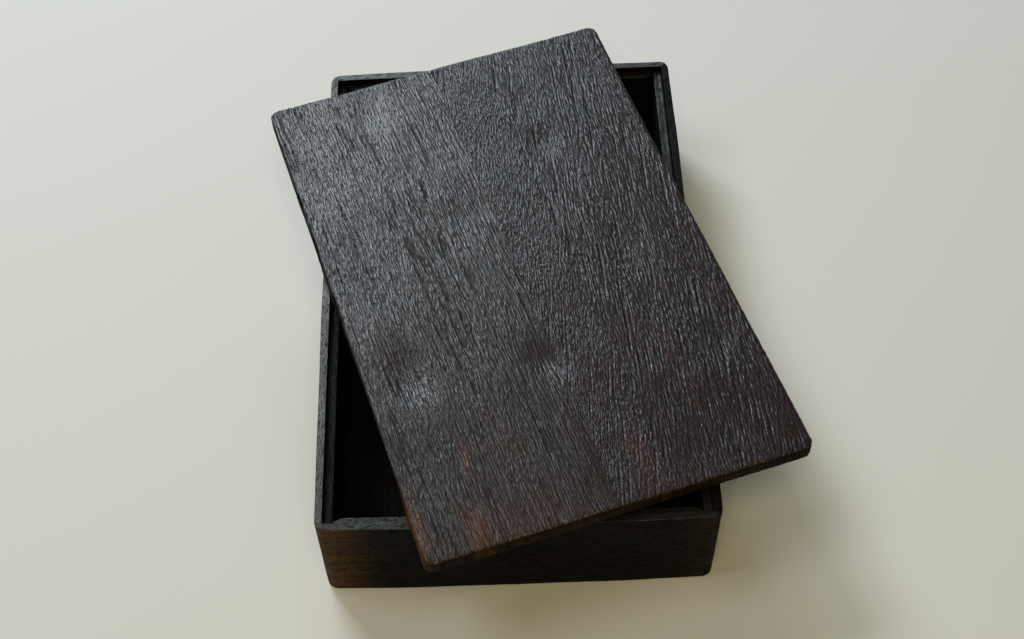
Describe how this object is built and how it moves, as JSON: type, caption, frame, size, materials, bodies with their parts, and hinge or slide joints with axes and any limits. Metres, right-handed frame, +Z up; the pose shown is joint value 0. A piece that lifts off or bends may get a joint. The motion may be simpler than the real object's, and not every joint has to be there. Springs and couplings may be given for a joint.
{
  "type": "lidded game piece box",
  "caption": "Low rectangular dark wooden box with a ledge inside its rim and a loose hand-hollowed board lid laid askew across it, for keeping shogi pieces.",
  "frame": {"origin": "centre of the box's flat underside, on the surface it stands on", "axes": "+Z up, +X to the box's right as seen from the front, +Y to its back, along its long sides"},
  "size_m": [0.181, 0.2276, 0.0514],
  "materials": {
    "box_walls": "dark stained open-pored hardwood, oiled and rubbed",
    "box_liners": "dark stained hardwood, oiled",
    "box_bottom": "dark stained hardwood, oiled",
    "lid_boards": "dark stained hardwood with raised grain and gouge hollows, rubbed lacquer sheen",
    "lid_battens": "dark stained hardwood, oiled"
  },
  "bodies": {
    "box": {"front_wall": "box_walls", "back_wall": "box_walls", "left_wall": "box_walls", "right_wall": "box_walls", "bottom_panel": "box_bottom", "front_liner": "box_liners", "back_liner": "box_liners", "left_liner": "box_liners", "right_liner": "box_liners"},
    "lid": {"lid_left_board": "lid_boards", "lid_middle_board": "lid_boards", "lid_right_board": "lid_boards", "lid_front_batten": "lid_battens", "lid_back_batten": "lid_battens", "lid_left_batten": "lid_battens", "lid_right_batten": "lid_battens"}
  },
  "joints": [
    {"name": "lid_lift", "type": "slide", "parent": "box", "child": "lid", "axis": [0, 0, 1], "range_m": [0, 0.08]}
  ]
}
